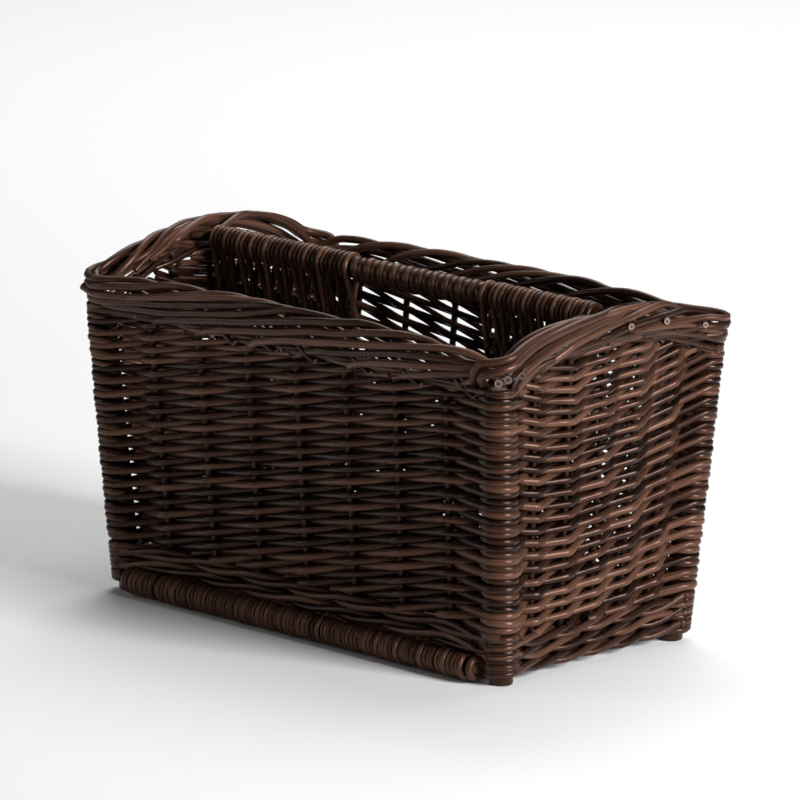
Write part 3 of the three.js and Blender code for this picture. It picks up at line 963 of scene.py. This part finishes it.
def rods_added_on_long_side(wall):
    name, first, rods = WALLS[wall], FIRST[wall], []
    # The tips take a dark tone of 0.2: painted shade, for the shadow under the border where they hang.
    for k, place in enumerate(TIP_PLACES):
        marks = moved(TIP_RUN, first + place)
        rods.append(border_rod((name, "tip", k), marks, 2.5, wall, 0.2))
    for k, run in enumerate(LOOP_RUNS):
        marks = [(first + max(passed, EARLIEST_BUTT[wall]), out, rise) for passed, out, rise in run]
        rods.append(border_rod((name, "loop", k), marks, 2.85, wall))
    return rods


border_rods = []
for wall in range(4):
    border_rods += stake_rods(wall)
    border_rods += rods_added_on_long_side(wall) if is_long(wall) else rods_added_on_end(wall)
print("border rods:", len(border_rods))
border = lay_rods("rim_border", border_rods, ROD_FINISH, sides=10, ring=1.35)
settle(border, "border", *[f"{wall}_border" for wall in WALLS])

# %% [markdown]
# The base is woven crosswise. Its rods pass over and under three sticks that run lengthwise, and
# at each long side they turn round a thick edge stick, which makes the roll that the basket shows
# at its foot. Every rod has one path: up round the front roll, across, and down round the back one.

# %% One rod of the base
EDGE_PLACE = -middle_mm("base_edge_stick_front")[1]
BASE_HEIGHT = middle_mm("base_edge_stick_front")[2]
BASE_HALF = box_mm("base_edge_stick_front")[1][0]
BASE_STICKS = sorted(middle_mm(f"base_stick_{k}")[1] for k in (1, 2, 3))
EDGE_STICK, BASE_STICK = 6.2, 3.5
INSIDE_ROLL = 24
ROLL_ANGLES = np.linspace(-150, 90, 11)


def roll_turn(side, place, lean, turn):
    """A turn round an edge stick: up at the front, where side is -1, and down at the back."""
    points = []
    for angle in ROLL_ANGLES[::-side]:
        a = math.radians(angle)
        along = place + side * lean * (angle + 30) / 240
        points.append((along, side * (EDGE_PLACE + turn * math.cos(a)), BASE_HEIGHT + turn * math.sin(a)))
    return points


def base_rod(count, group, place, radius):
    turn = EDGE_STICK + radius + 0.35 * chance("turn", count)
    lean = 1.8 + 1.6 * chance("lean", group)
    over = 1 if count % 2 else -1
    crossing = [(place, INSIDE_ROLL - EDGE_PLACE, BASE_HEIGHT)]
    for across in BASE_STICKS:
        crossing.append((place, across, BASE_HEIGHT + over * (BASE_STICK + radius)))
        over = -over
    crossing.append((place, EDGE_PLACE - INSIDE_ROLL, BASE_HEIGHT))
    points = roll_turn(-1, place, lean, turn) + crossing + roll_turn(1, place, lean, turn)
    return np.array(points), np.full(len(points), radius), 1.0 + 0.3 * chance("base", count)


print("base half length", round(BASE_HALF, 1), "sticks across it at", np.round(BASE_STICKS, 1))

# %% [markdown]
# The rods lie side by side in small groups, and each group leans its own way, as rods do that are
# pushed together by hand. At each end of a roll a turn lies flat and hides the stick's end.

# %% The base and its two rolls
def end_ring(x, y, turn, radius):
    angles = np.radians(np.linspace(-160, 210, 18))
    points = np.c_[np.full(18, x), y + turn * np.cos(angles), BASE_HEIGHT + turn * np.sin(angles)]
    return points, np.full(18, radius), 0.8


base_rods = []
place = -BASE_HALF + 3.2
count = group = 0
while place < BASE_HALF - 2.6:
    radius = 1.75 + 0.4 * chance("base size", count)
    base_rods.append(base_rod(count, group, place, radius))
    place += 2 * radius + 0.1
    if chance("gap", count) > 0.5:
        place += 0.9
        group += 1
    count += 1
for x in (-BASE_HALF - 0.6, BASE_HALF + 0.6):
    for y in (-EDGE_PLACE, EDGE_PLACE):
        base_rods.append(end_ring(x, y, 6.6, 2.9))
        base_rods.append(end_ring(x, y, 1.9, 2.8))
print("base rods:", count)
base = lay_rods("base_weave_rods", base_rods, ROD_FINISH)
settle(base, "base_weave", "base_weave")

# %% [markdown]
# The divider is a row of upright rods over horizontal sticks. Beside the hand hole the rods are
# taken over the top bar twice, so the bar shows twice as many strands as there are uprights below.
# The strands come down on a slant to a first stick. The whole divider spreads upwards with the
# ends of the basket, so every place along it depends on height.

# %% Strands over the bar
BAR_RADIUS = 7.0
BAR_HEIGHT = middle_mm("handle_bar")[2]
BAR_HALF = box_mm("handle_bar")[1][0]
HOLE = [corner[0] for corner in box_mm("handle_grip_wrap")]
SIDE_STICK = middle_mm("divider_side_stick_left")[2]
SPREAD = (RIM_HALF[0] - FOOT_HALF[0]) / RIM_HALF[0]
STRAND_PITCH = 4.5
THICK_STRAND = 2.3


def lean_x(x, height):
    return x * (1 + SPREAD * (height - WALL_TOP) / WALL_TOP)


def bar_strand(key, x, radius, slant, goes_down):
    """Every second strand comes up from the first stick and goes down behind."""
    turn = BAR_RADIUS - 0.1 + radius
    low = -28 if goes_down else -75
    points = []
    for angle in np.linspace(low, 180 - low, 13):
        a = math.radians(angle)
        along = x - 1.6 * (angle - 90) / 90
        points.append((along, -turn * math.cos(a), BAR_HEIGHT + turn * math.sin(a)))
    if goes_down:
        sway = 1.2 * chance(key, "sway", round(x, 1))
        legs = [(slant, 4.4, -2.0), (slant * 0.75, 5.4, 8.0)]
        front = [(x + aside + sway, -out, SIDE_STICK + up) for aside, out, up in legs]
        behind = [(x - aside + sway, out, SIDE_STICK + up) for aside, out, up in legs[::-1]]
        points = front + points + behind
    points = smooth_path([(lean_x(px, pz), py, pz) for px, py, pz in points], 2)
    # Strands thicker than THICK_STRAND, mostly every third one, get a lighter tone: a painted highlight for
    # the bright edges that light picks out along the bar.
    tone = 0.7 + 0.3 * chance(key, round(x, 1)) + (0.25 if radius > THICK_STRAND else 0.0)
    return points, np.full(len(points), radius), tone


print("bar at", round(BAR_HEIGHT, 1), "side stick at", round(SIDE_STICK, 1), "hand hole", np.round(HOLE, 1))

# %% [markdown]
# Below the first stick the uprights pass before one stick and behind the next. Under it thin rods
# twine between them in pairs, one in front where the other is behind, and leave the small holes
# that the light comes through.

# %% Uprights and twining
STICK_HEIGHTS = [middle_mm(f"divider_stick_{k}")[2] for k in (1, 2, 3)]
DIVIDER_FOOT = 19.5
STICK_RADIUS = 3.0
UPRIGHT_RADIUS = 2.05
TWINING_PITCH = 9.0


def upright_rod(key, x, top, side):
    crossed = [height for height in (SIDE_STICK, *STICK_HEIGHTS) if height < top]
    heights = [top, *crossed, DIVIDER_FOOT]
    lifts = [0.0, *[side * (-1) ** k * (STICK_RADIUS + UPRIGHT_RADIUS) for k in range(len(crossed))], 0.0]
    points = []
    for k, (height, lift) in enumerate(zip(heights, lifts)):
        sway = 0.8 * chance(key, k, round(x, 1))
        points.append((lean_x(x + sway, height), lift, height))
    points = smooth_path(points, 5)
    tone = 0.4 + 0.45 * chance(key, "tone", round(x, 1))
    return points, np.full(len(points), UPRIGHT_RADIUS), tone


def twining(key, start, end, height, radius, phase):
    points = []
    for k, x in enumerate(np.arange(start, end, TWINING_PITCH / 2)):
        side = (-1) ** (k + phase)
        points.append((lean_x(x, height), side * 3.2, height + 0.4 * chance(key, k)))
    points = smooth_path(points, 3)
    return points, np.full(len(points), radius), 0.35 + 0.3 * chance(key)


print("sticks below it at", np.round(STICK_HEIGHTS, 1))

# %% [markdown]
# Two panels stand beside the hand hole, with three twined rows each. The third one closes the
# space under the hole with two rows along its upper edge.

# %% The divider's three panels
PANEL_END = BAR_HALF - 1.5
HOLE_BOTTOM = box_mm("divider_weave_middle")[1][2]
PANELS = [
    # name, ends of the panel, and how far past them the first and the last strand lie
    ("left", -PANEL_END, HOLE[0] - 0.5, 2.0, 1.6),
    ("right", HOLE[1] + 0.5, PANEL_END, -1.0, -1.0),
]
for name, start, end, first, last in PANELS:
    rods = []
    for k, x in enumerate(np.arange(start + first, end + last, STRAND_PITCH)):
        radius = 2.2 + 0.12 * chance("strand", name, k) + (0.2 if k % 3 == 0 else 0.0)
        rods.append(bar_strand(name, x, radius, 7.5 if k % 4 else 5.0, k % 2 == 0))
    for k, x in enumerate(np.arange(start + 2.5, end - 1.0, STRAND_PITCH)):
        rods.append(upright_rod(name, x, SIDE_STICK + 3.0, 1 if k % 2 else -1))
    for k, drop in enumerate((8.0, 18.0, 28.0)):
        for phase in (0, 1):
            height = SIDE_STICK - drop - phase * 1.8
            rods.append(twining((name, k, phase), start + 1.0, end - 1.0, height, 1.35, phase))
    panel = lay_rods(f"divider_rods_{name}", rods, ROD_FINISH)
    settle(panel, "divider_weave", f"divider_weave_{name}")

rods = []
for k, x in enumerate(np.arange(HOLE[0] + 2.0, HOLE[1] - 1.5, STRAND_PITCH)):
    rods.append(upright_rod("middle", x, HOLE_BOTTOM - 1.0, 1 if k % 2 else -1))
for k, drop in enumerate((5.0, 8.0)):
    for phase in (0, 1):
        height = HOLE_BOTTOM - drop - phase * 1.5
        rods.append(twining(("hole", k, phase), HOLE[0] + 1.0, HOLE[1] - 1.0, height, 1.3, phase))
middle = lay_rods("divider_rods_middle", rods, ROD_FINISH)
settle(middle, "divider_weave", "divider_weave_middle")

# %% [markdown]
# Over the hand hole the bar is wound with flat split willow, which is kinder to the hand. Its
# section is a flat oval. One oval is spun round the bar and pushed along it at the same time,
# and that makes a whole winding in a single operator. A second, thinner one fills its gaps.

# %% The winding over the hand hole
WINDING_PITCH = 12.8
STEPS_PER_TURN = 18


def wind(shape, start, end, width, thickness):
    """Spin one flat oval round the bar and along it, into the same bmesh."""
    before = set(shape.verts)
    around = bmesh.ops.create_circle(shape, cap_ends=False, segments=10, radius=1.0)["verts"]
    centre = Vector((start * MM, 0.0, (BAR_HEIGHT + BAR_RADIUS + thickness / 2) * MM))
    flat = Matrix.Diagonal((width / 2 * MM, thickness / 2 * MM, 1.0, 1.0))
    upright = Matrix.Rotation(FULL / 4, 4, "X")
    bmesh.ops.transform(shape, matrix=Matrix.Translation(centre) @ upright @ flat, verts=around)
    ring = [edge for edge in shape.edges if edge.verts[0] not in before]
    turns = (end - start) / WINDING_PITCH
    steps = int(turns * STEPS_PER_TURN)
    bmesh.ops.spin(
        shape, geom=ring, cent=(0.0, 0.0, BAR_HEIGHT * MM), axis=(1.0, 0.0, 0.0),
        dvec=((end - start) / steps * MM, 0.0, 0.0), angle=turns * FULL, steps=steps,
    )


winding = bmesh.new()
wind(winding, HOLE[0] + 4.8, HOLE[1] - 8.4, 6.7, 3.2)
wind(winding, HOLE[0] + 11.2, HOLE[1] - 2.0, 6.3, 2.5)
bmesh.ops.holes_fill(winding, edges=winding.edges[:], sides=12)
bmesh.ops.recalc_face_normals(winding, faces=winding.faces[:])
for face in winding.faces:
    face.smooth = True
willow_skein = willow("split_willow_skein", along_rods=False, tone=0.85)
grip = finish_piece("handle_winding", mesh_of(winding, "handle_winding"), [willow_skein])
settle(grip, "handle", "handle_grip_wrap")

# %% [markdown]
# The corner posts are thick rods. Only their feet and a little of their tops show, so each is a
# circle extruded upwards between two places, with rounded edges and inset, paler ends.

# %% Corner posts
def corner_post(name, wall):
    shape = bmesh.new()
    foot = corner_at(wall, 0.0)
    top = corner_at(wall, WALL_TOP)
    ring = bmesh.ops.create_circle(shape, cap_ends=True, segments=20, radius=POST_RADIUS * MM)["verts"]
    bmesh.ops.translate(shape, verts=ring, vec=(foot[0] * MM, foot[1] * MM, 0.0))
    bottom = shape.faces[:][0]
    grown = bmesh.ops.extrude_face_region(shape, geom=[bottom], use_keep_orig=True)["geom"]
    upper = [item for item in grown if isinstance(item, bmesh.types.BMVert)]
    move = Vector(((top[0] - foot[0]) * MM, (top[1] - foot[1]) * MM, WALL_TOP * MM))
    bmesh.ops.translate(shape, verts=upper, vec=move)
    bmesh.ops.recalc_face_normals(shape, faces=shape.faces[:])
    rims = [edge for edge in shape.edges if len({round(v.co.z, 5) for v in edge.verts}) == 1]
    bmesh.ops.bevel(
        shape, geom=rims, offset=0.0014, offset_type="OFFSET", affect="EDGES",
        segments=3, profile=0.5, material=-1,
    )
    ends = [face for face in shape.faces if len(face.verts) > 6]
    for face in shape.faces:
        face.smooth = face not in ends
    bmesh.ops.inset_individual(shape, faces=ends, thickness=0.0012)
    for face in ends:
        face.material_index = 1
    return finish_piece(name, mesh_of(shape, name), [willow_stick, cut_ring])


for wall, corner in enumerate(CORNERS):
    settle(corner_post(f"post_{corner}", wall), "corner_posts", f"corner_post_{corner}")

# %% [markdown]
# The stakes, the sticks and the bar keep their CAD shapes, because round sticks are what they
# are. They only take the willow finish in place of the plain CAD colour.

# %% Finish for the sticks that stay
KEPT = ["handle_bar", "base_edge_stick_front", "base_edge_stick_back"]
KEPT += ["divider_side_stick_left", "divider_side_stick_right"]
KEPT += [f"{part}_stick_{k}" for part in ("base", "divider") for k in (1, 2, 3)]
KEPT += [f"{wall}_stake_{k + 1}" for wall, stakes in zip(WALLS, STAKES) for k in range(stakes)]
for node in KEPT:
    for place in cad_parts[node].material_slots:
        place.material = willow_stick
print("sticks that keep their CAD shape:", len(KEPT))

# %% [markdown]
# The basket stands on a plain pale floor.

# %% The floor
floor_shape = bmesh.new()
bmesh.ops.create_grid(floor_shape, x_segments=1, y_segments=1, size=8.0)
floor = bpy.data.objects.new("studio_floor", mesh_of(floor_shape, "studio_floor"))
scene.collection.objects.link(floor)
floor_finish = bpy.data.materials.new("pale_floor")
_, floor_shader = nodes_of(floor_finish)
floor_shader.inputs["Base Color"].default_value = (0.92, 0.92, 0.92, 1.0)
floor_shader.inputs["Roughness"].default_value = 0.9
floor.data.materials.append(floor_finish)
print("floor size in metres:", [round(side, 1) for side in floor.dimensions[:2]])

# %% [markdown]
# The photograph has soft light that comes mostly from the right, so the end of the basket is
# bright and its long side stays dark. A lamp on the right does most of the work, and a weak one
# fills the front. A large one overhead and another behind on the left keep the ground pale.

# %% Light
LAMPS = [
    # name, place, where it points, size in metres, power in watts
    ("key_from_right", (2.85, 0.22, 1.3), (0.0, 0.0, 0.1), 1.0, 136.0),
    ("overhead", (-0.6, 1.9, 3.0), (-0.6, 1.7, 0.0), 3.0, 52.0),
    ("left_fill", (-1.3, -1.2, 0.7), (-0.1, -0.1, 0.1), 0.8, 3.6),
    ("ground_behind", (-1.7, 1.9, 2.4), (-1.7, 1.8, 0.0), 2.2, 40.0),
]
for name, place, aim, size, power in LAMPS:
    lamp = bpy.data.lights.new(name, "AREA")
    lamp.shape = "SQUARE"
    lamp.size = size
    lamp.energy = power
    holder = bpy.data.objects.new(name, lamp)
    holder.location = place
    holder.rotation_euler = (Vector(aim) - Vector(place)).to_track_quat("-Z", "Y").to_euler()
    scene.collection.objects.link(holder)
world = bpy.data.worlds.new("studio")
scene.world = world
world.use_nodes = True
world.node_tree.nodes["Background"].inputs["Color"].default_value = (1.0, 1.0, 1.0, 1.0)
world.node_tree.nodes["Background"].inputs["Strength"].default_value = 0.04
scene.view_settings.view_transform = "Standard"
print("lamps:", len(LAMPS), "watts in all:", round(sum(lamp[4] for lamp in LAMPS), 1))

# %% [markdown]
# The camera stands where the photograph was taken from, to the right of the front and a little
# above the rim. Its angles were found by matching the corner posts and the ends of the handle. A
# long lens from five metres gives the weak perspective of the photograph.

# %% Camera
AZIMUTH, ELEVATION, ROLL = (math.radians(angle) for angle in (43.23, 12.71, 0.88))
DISTANCE = 5.0
AIM_RIGHT, AIM_UP = 0.00176, 0.15516

level = math.cos(ELEVATION)
back = Vector((math.sin(AZIMUTH) * level, -math.cos(AZIMUTH) * level, math.sin(ELEVATION)))
level_right = Vector((math.cos(AZIMUTH), math.sin(AZIMUTH), 0.0))
level_up = back.cross(level_right)
right = level_right * math.cos(ROLL) + level_up * math.sin(ROLL)
up = level_up * math.cos(ROLL) - level_right * math.sin(ROLL)
camera_data = bpy.data.cameras.new("photo_view")
camera_data.lens = 309.4
camera_data.sensor_width = 36.0
camera = bpy.data.objects.new("photo_view", camera_data)
camera.location = right * AIM_RIGHT + up * AIM_UP + back * DISTANCE
camera.rotation_euler = Matrix((right, up, back)).transposed().to_euler()
scene.collection.objects.link(camera)
scene.camera = camera
print("camera at", [round(value, 3) for value in camera.location])
